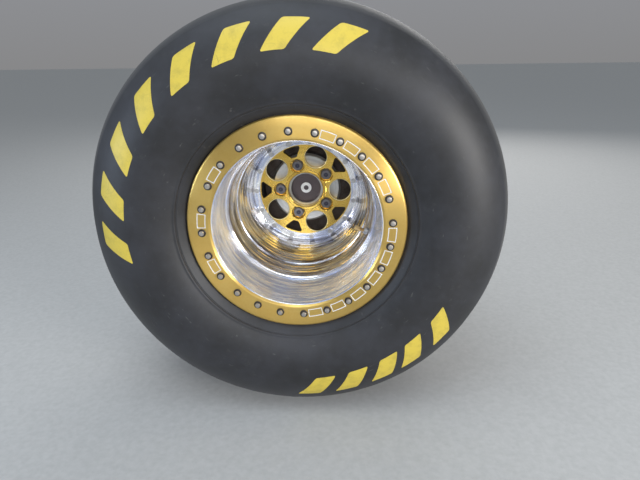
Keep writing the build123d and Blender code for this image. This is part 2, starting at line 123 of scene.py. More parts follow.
def layOver(tree, colour, mask, share, other):  # the other colour where the mask is, as strong as its share
    return mixColour(tree, mathNode(tree, "MULTIPLY", mask, share), colour, other)


def spread(tree, value, low, high, toLow=0.0, toHigh=1.0):
    return addNode(tree, "ShaderNodeMapRange", {0: value, 1: low, 2: high, 3: toLow, 4: toHigh}).outputs[0]


def noise(tree, place, size, detail, waver=0.0):
    given = {"Vector": place, "Scale": size, "Detail": detail, "Distortion": waver}
    return addNode(tree, "ShaderNodeTexNoise", given).outputs[0]


def objectPlace(tree):
    return addNode(tree, "ShaderNodeTexCoord").outputs["Object"]


def bump(tree, shader, height, strength, distance):
    node = addNode(tree, "ShaderNodeBump", {"Height": height, "Strength": strength, "Distance": distance})
    tree.links.new(node.outputs[0], shader.inputs["Normal"])


def newGroup(name, inputs, outputs):
    group = bpy.data.node_groups.new(name, "ShaderNodeTree")
    for label, default in inputs.items():
        socket = group.interface.new_socket(label, in_out="INPUT", socket_type="NodeSocketFloat")
        socket.default_value = default
    for label in outputs:
        group.interface.new_socket(label, in_out="OUTPUT", socket_type="NodeSocketFloat")
    return group, group.nodes.new("NodeGroupInput").outputs, group.nodes.new("NodeGroupOutput").inputs


def useGroup(tree, group, **values):
    node = tree.nodes.new("ShaderNodeGroup")
    node.node_tree = group
    for key, value in values.items():
        node.inputs[key].default_value = value
    return node.outputs


# Lathe lines: rings that follow the distance from the axle and the place along it; their Bands also carry the
# painted reflection streaks on the polished lip and barrel
latheSet = {
    "alongShare": 1.37,
    "outputs": [("Lines", 1.0, 2.0), ("Bands", 0.08, 3.0)],  # name, share of the fineness, detail
}


def makeLatheLines(s):
    group, given, result = newGroup("latheLines", {"Fine": 900.0, "Drift": 0.6}, ["Lines", "Bands"])
    x, y, z = addNode(group, "ShaderNodeSeparateXYZ", {0: objectPlace(group)}).outputs
    squares = [mathNode(group, "MULTIPLY", side, side) for side in (x, z)]
    reach = mathNode(group, "SQRT", mathNode(group, "ADD", *squares))
    aroundX, aroundZ = [mathNode(group, "MULTIPLY", mathNode(group, "DIVIDE", side, reach), given["Drift"])
                        for side in (x, z)]
    along = mathNode(group, "ADD", reach, mathNode(group, "MULTIPLY", y, s["alongShare"]))
    for label, share, detail in s["outputs"]:
        scaled = mathNode(group, "MULTIPLY", along, mathNode(group, "MULTIPLY", given["Fine"], share))
        spot = addNode(group, "ShaderNodeCombineXYZ", {0: scaled, 1: aroundX, 2: aroundZ}).outputs[0]
        group.links.new(noise(group, spot, 1.0, detail), result[label])
    return group


# Blotches at two sizes, for handling marks, dust and uneven plating
blotchSet = {"wideShare": 0.72, "wideDetail": 4.0, "fineShare": 0.28, "fineDetail": 3.0, "finer": 7.3}


def makeBlotches(s):
    inputs = {"Size": 30.0, "Low": 0.45, "High": 0.7}
    group, given, result = newGroup("blotches", inputs, ["Mask", "Soft"])
    place = objectPlace(group)
    wide = noise(group, place, given["Size"], s["wideDetail"])
    fine = noise(group, place, mathNode(group, "MULTIPLY", given["Size"], s["finer"]), s["fineDetail"])
    both = mathNode(group, "ADD", mathNode(group, "MULTIPLY", wide, s["wideShare"]),
                    mathNode(group, "MULTIPLY", fine, s["fineShare"]))
    group.links.new(spread(group, both, given["Low"], given["High"]), result["Mask"])
    group.links.new(both, result["Soft"])
    return group


# Thin short scratches in two directions, in patches
scratchSet = {
    "ways": [((0.3, 0.9, 0.5), (1.0, 0.06, 0.3)), ((1.1, 0.2, 1.9), (0.08, 1.0, 0.4))],  # turn, stretch
    "detail": 1.0, "waver": 0.4, "lineAt": 0.5, "patchSize": 11.0, "patchDetail": 2.0, "patch": (0.56, 0.66),
}


def makeScratches(s):
    group, given, result = newGroup("scratches", {"Size": 40.0, "Amount": 0.02}, ["Mask"])
    place = objectPlace(group)
    masks = []
    for turn, stretch in s["ways"]:
        placed = addNode(group, "ShaderNodeMapping", {"Vector": place, "Rotation": turn, "Scale": stretch})
        cells = noise(group, placed.outputs[0], given["Size"], s["detail"], s["waver"])
        line = mathNode(group, "ABSOLUTE", mathNode(group, "SUBTRACT", cells, s["lineAt"]))
        masks.append(spread(group, line, given["Amount"], 0.0))
    where = spread(group, noise(group, place, s["patchSize"], s["patchDetail"]), *s["patch"])
    both = mathNode(group, "MAXIMUM", *masks)
    group.links.new(mathNode(group, "MULTIPLY", both, where), result["Mask"])
    return group


latheLines = makeLatheLines(latheSet)
blotches = makeBlotches(blotchSet)
scratches = makeScratches(scratchSet)

plainMetal = {
    "metallic": 1.0, "lines": 900.0, "drift": 0.6, "blotch": 30.0, "blotchLow": 0.42, "blotchHigh": 0.66,
    "scratch": 45.0, "cut": 0.012, "cutRough": 0.15, "cutHeight": -0.4, "tintShare": 0.5, "bandShare": 0.2,
    "bandLow": 0.0, "bandHigh": 1.0, "roughSpread": 0.12, "lineRough": 0.06, "turned": 0.0, "glossTurn": 0.25,
    "bump": 0.25, "depth": 0.00006,
}


def metal(name, given):
    s = {**plainMetal, **given}
    mat, tree, shader = newMaterial(name)
    lines = useGroup(tree, latheLines, Fine=s["lines"], Drift=s["drift"])
    marks = useGroup(tree, blotches, Size=s["blotch"], Low=s["blotchLow"], High=s["blotchHigh"])
    cuts = useGroup(tree, scratches, Size=s["scratch"], Amount=s["cut"])
    colour = layOver(tree, s["colour"], marks["Mask"], s["tintShare"], s["tint"])
    # Colour bands along the lathe lines: tone bands on most finishes, painted reflection streaks on the
    # polished lip and barrel
    bands = spread(tree, lines["Bands"], s["bandLow"], s["bandHigh"], 0.0, s["bandShare"])
    tree.links.new(mixColour(tree, bands, colour, s["tint"]), shader.inputs["Base Color"])
    rough = addUp(tree, s["rough"] - s["roughSpread"] / 2, (marks["Soft"], s["roughSpread"]),
                  (cuts["Mask"], s["cutRough"]), (lines["Lines"], s["lineRough"]))
    tree.links.new(rough, shader.inputs["Roughness"])
    shader.inputs["Metallic"].default_value = s["metallic"]
    if s["turned"]:  # lathe lines run round the axle, so light spreads across them
        shader.inputs["Anisotropic"].default_value = s["turned"]
        shader.inputs["Anisotropic Rotation"].default_value = s["glossTurn"]
        roundAxle = addNode(tree, "ShaderNodeTangent", direction_type="RADIAL", axis="Y")
        tree.links.new(roundAxle.outputs[0], shader.inputs["Tangent"])
    bump(tree, shader, addUp(tree, lines["Lines"], (cuts["Mask"], s["cutHeight"])), s["bump"], s["depth"])
    return mat


metals = {
    "goldSatin": {"colour": (0.84, 0.585, 0.185), "tint": (0.71, 0.43, 0.09), "rough": 0.30,
                  "lines": 1400.0, "lineRough": 0.1, "bandShare": 0.3, "tintShare": 0.35, "bump": 0.3,
                  "cut": 0.006, "turned": 0.8},
    "goldBright": {"colour": (0.90, 0.62, 0.15), "tint": (0.66, 0.38, 0.05), "rough": 0.20,
                   "lines": 1400.0, "lineRough": 0.08, "bandShare": 0.4, "bandLow": 0.42, "bandHigh": 0.62,
                   "tintShare": 0.4, "bump": 0.3, "cut": 0.006, "turned": 0.8},
    # Pale bright gold for the round holes' broken edges: a painted highlight
    "goldEdgeHighlight": {"colour": (1.0, 0.91, 0.52), "tint": (0.98, 0.80, 0.36), "rough": 0.34, "metallic": 0.45,
                 "lines": 1400.0, "bump": 0.2},
    # The lip's bluish bands are painted sky reflections
    "polishedLip": {"colour": (1.00, 1.00, 1.00), "tint": (0.46, 0.54, 0.80), "rough": 0.17,
                    "lines": 1500.0, "drift": 1.9, "bandLow": 0.48, "bandHigh": 0.56, "bandShare": 0.7,
                    "roughSpread": 0.10, "tintShare": 0.12, "cut": 0.008, "turned": 0.95, "metallic": 0.78},
    # The barrel's brown-grey bands are painted reflection streaks
    "barrelShine": {"colour": (0.98, 0.98, 1.00), "tint": (0.25, 0.21, 0.20), "rough": 0.10,
                    "lines": 1300.0, "drift": 1.6, "bandLow": 0.47, "bandHigh": 0.59, "bandShare": 0.75,
                    "roughSpread": 0.06, "lineRough": 0.03, "tintShare": 0.12, "depth": 0.00005, "cut": 0.008,
                    "turned": 0.8, "metallic": 0.93},
    "dustyRim": {"colour": (0.60, 0.60, 0.60), "tint": (0.24, 0.21, 0.19), "rough": 0.34, "blotch": 18.0,
                 "roughSpread": 0.3, "tintShare": 0.7, "bandLow": 0.42, "bandHigh": 0.62, "bandShare": 0.4},
    "zincPlate": {"colour": (0.62, 0.61, 0.60), "tint": (0.46, 0.45, 0.45), "rough": 0.32, "blotch": 160.0},
    "headSteel": {"colour": (0.60, 0.57, 0.54), "tint": (0.42, 0.40, 0.38), "rough": 0.32, "blotch": 200.0},
    "darkZinc": {"colour": (0.10, 0.09, 0.08), "tint": (0.05, 0.045, 0.045), "rough": 0.34, "blotch": 160.0},
    # Dusty bolt steel, darkened also as painted shade where it is seen through the holes
    "dustyShadedBolt": {"colour": (0.15, 0.135, 0.125), "tint": (0.07, 0.06, 0.055), "rough": 0.46,
                  "blotch": 120.0},
    "nutSteel": {"colour": (0.21, 0.20, 0.205), "tint": (0.11, 0.105, 0.12), "rough": 0.34, "blotch": 120.0},
    "studSteel": {"colour": (0.07, 0.07, 0.10), "tint": (0.04, 0.04, 0.055), "rough": 0.36, "blotch": 140.0},
    "machinedFace": {"colour": (0.68, 0.68, 0.66), "tint": (0.42, 0.42, 0.40), "rough": 0.3,
                     "lines": 1700.0, "lineRough": 0.2, "bandLow": 0.40, "bandHigh": 0.62, "bandShare": 0.6,
                     "bump": 0.4},
    "cutSilver": {"colour": (0.97, 0.96, 0.94), "tint": (0.88, 0.87, 0.86), "rough": 0.3, "blotch": 200.0,
                  "metallic": 0.6},
    "darkAnodised": {"colour": (0.13, 0.105, 0.105), "tint": (0.08, 0.065, 0.07), "rough": 0.36,
                     "lines": 2200.0, "metallic": 0.75, "bump": 0.3},
    "blackAnodised": {"colour": (0.035, 0.035, 0.04), "tint": (0.06, 0.06, 0.065), "rough": 0.4,
                      "metallic": 0.6, "blotch": 60.0, "bump": 0.1},
    # Dark brake dust, kept this dark also as painted shade on faces seen through the wheel's holes
    "brakeDustAndShade": {"colour": (0.17, 0.14, 0.12), "tint": (0.07, 0.055, 0.05), "rough": 0.55, "blotch": 40.0,
                  "metallic": 0.6, "tintShare": 0.9},
    "brakeIron": {"colour": (0.34, 0.33, 0.32), "tint": (0.15, 0.12, 0.10), "rough": 0.34, "lines": 1500.0,
                  "lineRough": 0.25, "bandLow": 0.40, "bandHigh": 0.64, "bandShare": 0.7, "bump": 0.6,
                  "turned": 0.6},
    "axleSteel": {"colour": (0.40, 0.39, 0.385), "tint": (0.27, 0.25, 0.24), "rough": 0.38, "blotch": 50.0,
                  "lines": 700.0, "bandShare": 0.4},
    "wornBrass": {"colour": (0.55, 0.38, 0.17), "tint": (0.27, 0.18, 0.09), "rough": 0.26, "blotch": 220.0},
    "blackPlate": {"colour": (0.06, 0.06, 0.065), "tint": (0.11, 0.10, 0.095), "rough": 0.45,
                   "metallic": 0.7, "blotch": 70.0, "bump": 0.12},
}
metalMats = {name: metal(name, given) for name, given in metals.items()}

rubberSet = {
    "deep": (0.0150, 0.0152, 0.0170), "grey": (0.027, 0.028, 0.034), "dusty": (0.085, 0.083, 0.080),
    "scrubbed": (0.060, 0.058, 0.056),
    "broad": {"Size": 9.0, "Low": 0.38, "High": 0.64},
    "dust": {"Size": 70.0, "Low": 0.60, "High": 0.72}, "dustShare": 0.22, "dustRough": 0.12,
    "rubs": {"Fine": 330.0, "Drift": 15.0}, "scuff": (0.70, 0.80), "scuffShare": 0.9, "scuffHeight": 0.6,
    "lines": {"Fine": 420.0, "Drift": 0.25}, "lineHeight": 1.6,
    "tread": (0.385, 0.399),  # from the sidewall to the tread, as distances from the axle
    "scrub": (0.35, 0.65, 0.15, 0.95),  # bands from and to, their share from and to
    "rough": 0.50, "roughSpread": 0.22, "sheen": 0.04, "gloss": 0.44,
    "grain": 2600.0, "grainDetail": 2.0, "bump": 0.3, "depth": 0.00012,
}


def makeRubber(s):
    mat, tree, shader = newMaterial("slickRubber")
    broad = useGroup(tree, blotches, **s["broad"])
    dust = useGroup(tree, blotches, **s["dust"])
    rubs = useGroup(tree, latheLines, **s["rubs"])
    lines = useGroup(tree, latheLines, **s["lines"])
    scuffs = spread(tree, rubs["Lines"], *s["scuff"])  # short dashes that run round the sidewall
    colour = mixColour(tree, broad["Mask"], s["deep"], s["grey"])
    colour = layOver(tree, colour, dust["Mask"], s["dustShare"], s["dusty"])
    colour = layOver(tree, colour, scuffs, s["scuffShare"], s["dusty"])
    place = objectPlace(tree)
    acrossAxle = addNode(tree, "ShaderNodeVectorMath", {0: place, 1: (1, 0, 1)}, operation="MULTIPLY")
    reach = addNode(tree, "ShaderNodeVectorMath", {0: acrossAxle.outputs[0]}, operation="LENGTH")
    tread = spread(tree, reach.outputs["Value"], *s["tread"])
    scrub = spread(tree, lines["Bands"], *s["scrub"])
    colour = layOver(tree, colour, tread, scrub, s["scrubbed"])
    tree.links.new(colour, shader.inputs["Base Color"])
    rough = addUp(tree, s["rough"] - s["roughSpread"] / 2, (broad["Soft"], s["roughSpread"]),
                  (dust["Mask"], s["dustRough"]))
    tree.links.new(rough, shader.inputs["Roughness"])
    shader.inputs["Sheen Weight"].default_value = s["sheen"]
    shader.inputs["Specular IOR Level"].default_value = s["gloss"]
    grain = noise(tree, place, s["grain"], s["grainDetail"])
    height = addUp(tree, grain, (lines["Bands"], s["lineHeight"]), (scuffs, s["scuffHeight"]))
    bump(tree, shader, height, s["bump"], s["depth"])
    return mat


paintSet = {
    "colour": (0.60, 0.465, 0.062), "worn": (0.38, 0.30, 0.05),
    "wear": {"Size": 55.0, "Low": 0.46, "High": 0.66}, "wearShare": 0.55,
    "cuts": {"Size": 90.0, "Amount": 0.012}, "rough": 0.45, "roughSpread": 0.2, "bump": 0.2, "depth": 0.0002,
}


def makeMarkPaint(s):
    mat, tree, shader = newMaterial("markPaint")
    wear = useGroup(tree, blotches, **s["wear"])
    cuts = useGroup(tree, scratches, **s["cuts"])
    share = mathNode(tree, "MAXIMUM", mathNode(tree, "MULTIPLY", wear["Mask"], s["wearShare"]), cuts["Mask"])
    tree.links.new(mixColour(tree, share, s["colour"], s["worn"]), shader.inputs["Base Color"])
    rough = addUp(tree, s["rough"] - s["roughSpread"] / 2, (wear["Soft"], s["roughSpread"]))
    tree.links.new(rough, shader.inputs["Roughness"])
    bump(tree, shader, wear["Soft"], s["bump"], s["depth"])
    return mat


liningSet = {
    "colour": (0.085, 0.075, 0.07), "fleck": (0.20, 0.16, 0.12),
    "specks": {"Size": 240.0, "Low": 0.5, "High": 0.62}, "rough": (0.3, 0.7, 0.6, 0.85), "bump": 0.5,
    "depth": 0.0003,
}


def makePadLining(s):
    mat, tree, shader = newMaterial("padLining")
    specks = useGroup(tree, blotches, **s["specks"])
    tree.links.new(mixColour(tree, specks["Mask"], s["colour"], s["fleck"]), shader.inputs["Base Color"])
    tree.links.new(spread(tree, specks["Soft"], *s["rough"]), shader.inputs["Roughness"])
    bump(tree, shader, specks["Soft"], s["bump"], s["depth"])
    return mat


slickRubber = makeRubber(rubberSet)
markPaint = makeMarkPaint(paintSet)
padLining = makePadLining(liningSet)
print("materials made")


# Modelling helpers
def finishPiece(name, bm, materials, replaced=(), body="wheel", sharp=32):
    mesh = bpy.data.meshes.new(name)
    bm.to_mesh(mesh)
    bm.free()
    for mat in materials:
        mesh.materials.append(mat)
    mesh.shade_smooth()
    mesh.set_sharp_from_angle(angle=math.radians(sharp))
    piece = addObject(name, mesh)
    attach(piece, body)
    if replaced:
        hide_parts(*replaced)
    return piece


def roundCorner(bm, vert, size):
    bmesh.ops.bevel(bm, geom=[vert], offset=size * mm, offset_type="OFFSET", segments=4, profile=0.5,
                    affect="VERTICES", material=-1)


def breakEdges(bm, edges, size, segments):
    bmesh.ops.bevel(bm, geom=edges, offset=size * mm, offset_type="OFFSET", segments=segments, profile=0.5,
                    affect="EDGES", material=-1)


def profile(bm, rows):  # a closed outline of (radius, y, corner), the corner's length along its edges
    verts = [bm.verts.new((r * mm, y * mm, 0)) for r, y, corner in rows]
    for a, b in zip(verts, verts[1:] + verts[:1]):
        bm.edges.new((a, b))
    for vert, (r, y, corner) in zip(verts, rows):
        if corner:
            roundCorner(bm, vert, corner)


def spinAll(bm, steps):
    bmesh.ops.spin(bm, geom=bm.verts[:] + bm.edges[:], cent=(0, 0, 0), axis=axle, dvec=(0, 0, 0),
                   angle=math.radians(360), steps=steps, use_merge=True, use_duplicate=False)
    bmesh.ops.remove_doubles(bm, verts=bm.verts[:], dist=mergeGap)
    bmesh.ops.recalc_face_normals(bm, faces=bm.faces[:])


def clockTurn(angle):  # turns something made at the top round to its clock angle
    return Matrix.Rotation(math.radians(angle), 3, axle)


def turnAll(bm, matrix):
    bmesh.ops.rotate(bm, verts=bm.verts[:], cent=(0, 0, 0), matrix=matrix)


def repeatRound(bm, count, phase):
    turnAll(bm, clockTurn(phase))
    bmesh.ops.spin(bm, geom=bm.verts[:] + bm.edges[:] + bm.faces[:], cent=(0, 0, 0), axis=axle,
                   dvec=(0, 0, 0), angle=math.radians(360 * (count - 1) / count), steps=count - 1,
                   use_merge=False, use_duplicate=True)


def liftTo(bm, radius):
    bmesh.ops.translate(bm, verts=bm.verts[:], vec=(0, 0, radius * mm))


def addRod(bm, sides, radius, yFrom, yTo, chamfer, segments, material=0, turn=0.0):
    place = Matrix.Translation((0, (yFrom + yTo) / 2 * mm, 0)) @ Matrix.Rotation(math.radians(90), 4, "X")
    verts = bmesh.ops.create_cone(bm, cap_ends=True, cap_tris=False, segments=sides, radius1=radius * mm,
                                  radius2=radius * mm, depth=abs(yTo - yFrom) * mm,
                                  matrix=place @ Matrix.Rotation(math.radians(turn), 4, "Z"))["verts"]
    for face in {face for vert in verts for face in vert.link_faces}:
        face.material_index = material
    top = min(vert.co.y for vert in verts)
    rims = [edge for edge in {e for vert in verts for e in vert.link_edges}
            if all(abs(v.co.y - top) < flatGap for v in edge.verts)]
    breakEdges(bm, rims, chamfer, segments)


def movedVerts(made):
    return [item for item in made["geom"] if isinstance(item, bmesh.types.BMVert)]


def addStar(bm, points, radius, dip, yFrom, yTo, chamfer):  # a many-pointed bolt head
    turn = Matrix.Translation((0, yFrom * mm, 0)) @ Matrix.Rotation(math.radians(90), 4, "X")
    ring = bmesh.ops.create_circle(bm, cap_ends=True, segments=2 * points, radius=radius * mm)["verts"]
    bmesh.ops.scale(bm, vec=(dip, dip, 1), verts=ring[1::2])
    bmesh.ops.transform(bm, matrix=turn, verts=ring)
    base = list({face for vert in ring for face in vert.link_faces})
    top = movedVerts(bmesh.ops.extrude_face_region(bm, geom=base, use_keep_orig=True))
    bmesh.ops.translate(bm, verts=top, vec=(0, (yTo - yFrom) * mm, 0))
    faces = list({face for vert in ring + top for face in vert.link_faces})
    bmesh.ops.recalc_face_normals(bm, faces=faces)
    rims = {edge for vert in top for edge in vert.link_edges if all(v in top for v in edge.verts)}
    breakEdges(bm, list(rims), chamfer, 2)


def applyModifiers(piece):
    bpy.context.view_layer.update()
    old = piece.data
    piece.data = bpy.data.meshes.new_from_object(piece.evaluated_get(bpy.context.evaluated_depsgraph_get()))
    piece.modifiers.clear()
    name = old.name
    bpy.data.meshes.remove(old)
    piece.data.name = name


softSet = {"merge": 0.000005, "flat": 0.6, "sharp": 30, "segments": 2}  # metres, degrees, degrees, steps


def softCopy(name, node, material, body="wheel", width=0.4):  # a CAD piece with its edges broken
    bm = bmesh.new()
    bm.from_mesh(nodes[node].data)
    bmesh.ops.remove_doubles(bm, verts=bm.verts[:], dist=softSet["merge"])
    bmesh.ops.dissolve_limit(bm, angle_limit=math.radians(softSet["flat"]), use_dissolve_boundaries=False,
                             verts=bm.verts[:], edges=bm.edges[:])
    piece = finishPiece(name, bm, [material], [node], body)
    edge = piece.modifiers.new("edges", "BEVEL")
    edge.width = width * mm
    edge.segments = softSet["segments"]
    edge.limit_method = "ANGLE"
    edge.angle_limit = math.radians(softSet["sharp"])
    edge.harden_normals = True
    applyModifiers(piece)
    return piece


# Tyre: sidewall arcs, crown, and a closed inside
tyreSet = {
    "middle": -177.6, "radius": 406.3, "arcCentre": (297.94, 104.05), "arcRadius": 123.0, "arcFrom": 136.8,
    "arcTo": 43.2, "arcSteps": 72, "steps": 256, "sharp": 50,
    "crown": [(6.2, 163.8), (3.6, 140.0), (1.4, 90.0), (0.35, 45.0), (0.0, 0.0)],  # drop, off the middle
    "inside": [(190.0, 188.3), (190.0, 163.3), (205.0, 163.3), (221.0, 185.3), (302.0, 219.0),
               (365.0, 192.0), (386.0, 165.0), (396.0, 0.0)],  # radius, off the middle
    "waves": [(229.5, 1.1, 2.2), (226.3, -1.0, 1.0)],  # a moulded line by the ring: radius, height, width
    "waveReach": 9.0, "waveCuts": 3, "seam": 0.01,
}


def makeTyre(s):
    bm = bmesh.new()
    middle, level = s["arcCentre"]
    start = math.radians(s["arcFrom"])
    vert = bm.verts.new(((middle + s["arcRadius"] * math.cos(start)) * mm,
                         (level + s["arcRadius"] * math.sin(start)) * mm, 0))
    centre = Vector((middle * mm, level * mm, 0))
    bmesh.ops.spin(bm, geom=[vert], cent=centre, axis=(0, 0, 1), dvec=(0, 0, 0),
                   angle=math.radians(s["arcTo"] - s["arcFrom"]), steps=s["arcSteps"], use_merge=False,
                   use_duplicate=False)
    byRing = [e for e in bm.edges if abs(e.verts[0].co.x / mm - s["waves"][0][0]) < s["waveReach"]]
    bmesh.ops.subdivide_edges(bm, edges=byRing, cuts=s["waveCuts"], use_grid_fill=False)
    for v in bm.verts:
        r = v.co.x / mm
        rise = sum(high * math.exp(-((r - at) / wide) ** 2) for at, high, wide in s["waves"])
        v.co += (v.co - centre).normalized() * rise * mm
    last = max(bm.verts, key=lambda v: v.co.x)
    first = min(bm.verts, key=lambda v: v.co.x)
    crown = [(s["radius"] - drop, off) for drop, off in s["crown"]]
    for end, rows in ((last, crown), (first, s["inside"])):
        for r, off in rows:
            vert = bm.verts.new((r * mm, off * mm, 0))
            bm.edges.new((end, vert))
            end = vert
    bmesh.ops.mirror(bm, geom=bm.verts[:] + bm.edges[:], matrix=Matrix.Identity(4),
                     merge_dist=s["seam"] * mm, axis="Y")
    bmesh.ops.translate(bm, verts=bm.verts[:], vec=(0, s["middle"] * mm, 0))
    spinAll(bm, s["steps"])
    finishPiece("slickTyre", bm, [slickRubber], ["tyre"], sharp=s["sharp"])


makeTyre(tyreSet)
print("tyre made")


# Yellow dashes round the sidewall, plain slanted blocks
markSet = {
    "inner": 315.0, "outer": 364.0, "slant": 7.0, "width": 7.4, "lift": 0.12, "thick": 0.45, "corner": 4.0,
    "stepUp": 3.0, "stepAcross": 4.0,
    "places": [125.3, 138.2, 149.0, 161.3, 173.8] + [265.8 + 15.4 * i for i in range(8)],
}


def cutAt(bm, place, way):  # an edge row where this plane crosses, so that the block can bend there
    bmesh.ops.bisect_plane(bm, geom=bm.verts[:] + bm.edges[:] + bm.faces[:], dist=cutGap, plane_co=place,
                           plane_no=way)


def makeMark(s, t):
    bm = bmesh.new()
    start, end = [math.acos((r - t["arcCentre"][0]) / t["arcRadius"]) for r in (s["inner"], s["outer"])]
    length = t["arcRadius"] * (start - end)
    middle = (s["inner"] + s["outer"]) / 2
    half = math.radians(s["width"]) * middle / 2
    lean = math.radians(s["slant"]) * middle / 2
    corners = [(-half - lean, 0), (half - lean, 0), (half + lean, length), (-half + lean, length)]
    verts = [bm.verts.new((a * mm, 0, b * mm)) for a, b in corners]
    bm.faces.new(verts)
    for vert in verts:
        roundCorner(bm, vert, s["corner"])
    for i in range(1, int(length / s["stepUp"])):
        cutAt(bm, (0, 0, i * s["stepUp"] * mm), (0, 0, 1))
    reach = int((half + lean) / s["stepAcross"]) + 1
    for i in range(-reach, reach + 1):
        cutAt(bm, (i * s["stepAcross"] * mm, 0, 0), (1, 0, 0))
    raised = movedVerts(bmesh.ops.extrude_face_region(bm, geom=bm.faces[:]))
    bmesh.ops.translate(bm, verts=raised, vec=(0, s["thick"] * mm, 0))
    for v in bm.verts:  # wraps the flat block on to the sidewall's arc
        rise = t["arcRadius"] + s["lift"] - s["thick"] / 2 + v.co.y / mm
        turn = start - v.co.z / mm / t["arcRadius"]
        r = t["arcCentre"][0] + rise * math.cos(turn)
        off = t["arcCentre"][1] + rise * math.sin(turn)
        a = v.co.x / mm / middle
        v.co = Vector((r * math.sin(a), t["middle"] - off, r * math.cos(a))) * mm
    mesh = bpy.data.meshes.new("mark")
    bm.to_mesh(mesh)
    bm.free()
    return mesh


def makeMarks(s, t):
    one = makeMark(s, t)
    bm = bmesh.new()
    for place in s["places"]:
        before = set(bm.verts)
        bm.from_mesh(one)
        bmesh.ops.rotate(bm, verts=[v for v in bm.verts if v not in before], cent=(0, 0, 0),
                         matrix=clockTurn(place))
    bmesh.ops.recalc_face_normals(bm, faces=bm.faces[:])
    bpy.data.meshes.remove(one)
    finishPiece("sidewallMarks", bm, [markPaint])


makeMarks(markSet, tyreSet)
print("marks made")


# Clamp ring with cut grooves between some of its bolts
ringSet = {
    "front": -375.5, "back": -366.0, "bore": 162.0, "outer": 208.05, "chamfer": 4.5, "round": 4.6,
    "frontEdge": 0.5, "backEdge": 0.3, "groove": (172.0, 188.6), "grooveWidth": 1.7, "grooveSpan": 8.6,
    "grooveEnd": 0.5, "grooveWall": 0.2, "depth": 0.45, "bolts": 24, "phase": -3.1,
    "gaps": [1, 2, 3, 4, 6, 7, 8, 9, 10, 11, 16, 18, 20], "steps": 720, "sharp": 25, "flatness": 0.01,
}


def makeClampRing(s):
    low, high = s["groove"]
    wide = s["grooveWidth"]
    rows = [(s["bore"], s["back"], s["backEdge"]), (s["bore"], s["front"] + s["chamfer"], s["frontEdge"]),
            (s["bore"] + s["chamfer"], s["front"], s["frontEdge"])]
    rows += [(r, s["front"], 0) for r in (low, low + wide, high - wide, high)]
    rows += [(s["outer"], s["front"], s["round"]), (s["outer"], s["back"], s["backEdge"])]
    bm = bmesh.new()
    profile(bm, rows)
    spinAll(bm, s["steps"])
    turnAll(bm, clockTurn(s["phase"]))
    pitch = 360 / s["bolts"]
    halfSpan = s["grooveSpan"] / 2
    chosen = {}
    for face in bm.faces:
        c = face.calc_center_median()
        r = math.hypot(c.x, c.z) / mm
        clock = (math.degrees(math.atan2(c.x, c.z)) - s["phase"]) % 360
        gap = int(clock // pitch)
        off = abs(clock - (gap + 0.5) * pitch)
        if gap not in s["gaps"] or abs(c.y / mm - s["front"]) > s["flatness"] or not low < r < high:
            continue
        arcs = (r < low + wide or r > high - wide) and off < halfSpan
        ends = halfSpan - s["grooveEnd"] < off < halfSpan
        if arcs or ends:
            chosen.setdefault(gap, []).append(face)
    for faces in chosen.values():
        made = bmesh.ops.inset_region(bm, faces=faces, thickness=s["grooveWall"] * mm, depth=-s["depth"] * mm,
                                      use_even_offset=True, use_boundary=True)
        for face in faces + made["faces"]:
            face.material_index = 1
    finishPiece("clampRing", bm, [metalMats["goldSatin"], metalMats["cutSilver"]],
                ["clamp_ring"], sharp=s["sharp"])


makeClampRing(ringSet)

# Clamp bolts: a bright head on a dark flanged collar
clampBoltSet = {
    "face": ringSet["front"], "count": ringSet["bolts"], "phase": ringSet["phase"], "circle": 180.3,
    "collar": 7.8, "collarSides": 40,
    "collarFrom": 0.2, "collarTop": 2.2, "collarEdge": 0.8, "edgeSteps": 3, "head": 4.9, "points": 12,
    "dip": 0.9, "headFrom": 0.3, "headTop": 6.0, "headEdge": 0.6,
}


def makeClampBolts(s):
    bm = bmesh.new()
    face = s["face"]
    addRod(bm, s["collarSides"], s["collar"], face + s["collarFrom"], face - s["collarTop"], s["collarEdge"],
           s["edgeSteps"], material=1)
    addStar(bm, s["points"], s["head"], s["dip"], face - s["headFrom"], face - s["headTop"], s["headEdge"])
    liftTo(bm, s["circle"])
    repeatRound(bm, s["count"], s["phase"])
    finishPiece("clampBolts", bm, [metalMats["headSteel"], metalMats["darkZinc"]],
                ["clamp_bolts"])


makeClampBolts(clampBoltSet)
print("clamp ring made")


# Rim shells, spun from sheet, with the faint ripples that spinning leaves
shellSet = {
    "sheet": 4.3, "steps": 192, "sharp": 40, "barrel": (-264.0, -98.0), "ripple": 0.095, "rippleStep": 1.7,
    "waves": [(0.52, 0.0, 1.0), (0.24, 1.3, 1.4), (0.95, 0.5, 0.5)],  # turn per mm, start, share
}
outerPath = [
    (163.2, -372.6, 0.6), (160.9, -372.6, 1.0), (160.6, -366.0, 2.0), (157.0, -282.0, 0),
    (156.5, -268.6, 1.5), (154.4, -266.9, 1.2), (153.6, -263.6, 1.2), (150.6, -262.9, 1.5),
    (149.4, -258.0, 2.5), (146.2, -214.0, 4.0), (144.4, -208.6, 1.2), (141.6, -206.6, 2.0),
    (140.8, -201.0, 3.0), (129.4, -118.0, 5.0), (125.8, -97.2, 2.0), (122.8, -94.9, 1.2), (109.2, -94.8, 0),
]
innerPath = [
    (109.2, -78.2, 0), (159.0, -78.2, 9.0), (173.0, -64.0, 9.0), (173.0, -40.2, 8.0), (185.3, -22.0, 8.0),
    (185.3, 14.6, 3.5), (195.0, 15.4, 4.0), (201.9, 29.6, 0),
]


def shellRows(path, sheet):  # path of (radius, y, corner), thickened away from the axle
    back = []
    for i, (r, y, corner) in enumerate(path):
        ways = []
        for a, b in ((i - 1, i), (i, i + 1)):
            if a >= 0 and b < len(path):
                d = Vector((path[b][0] - path[a][0], path[b][1] - path[a][1])).normalized()
                ways.append(Vector((d.y, -d.x)))
        way = sum(ways, Vector((0, 0)))
        way = way / way.dot(ways[0])
        back.append((r + way.x * sheet, y + way.y * sheet, corner))
    return list(path) + back[::-1]


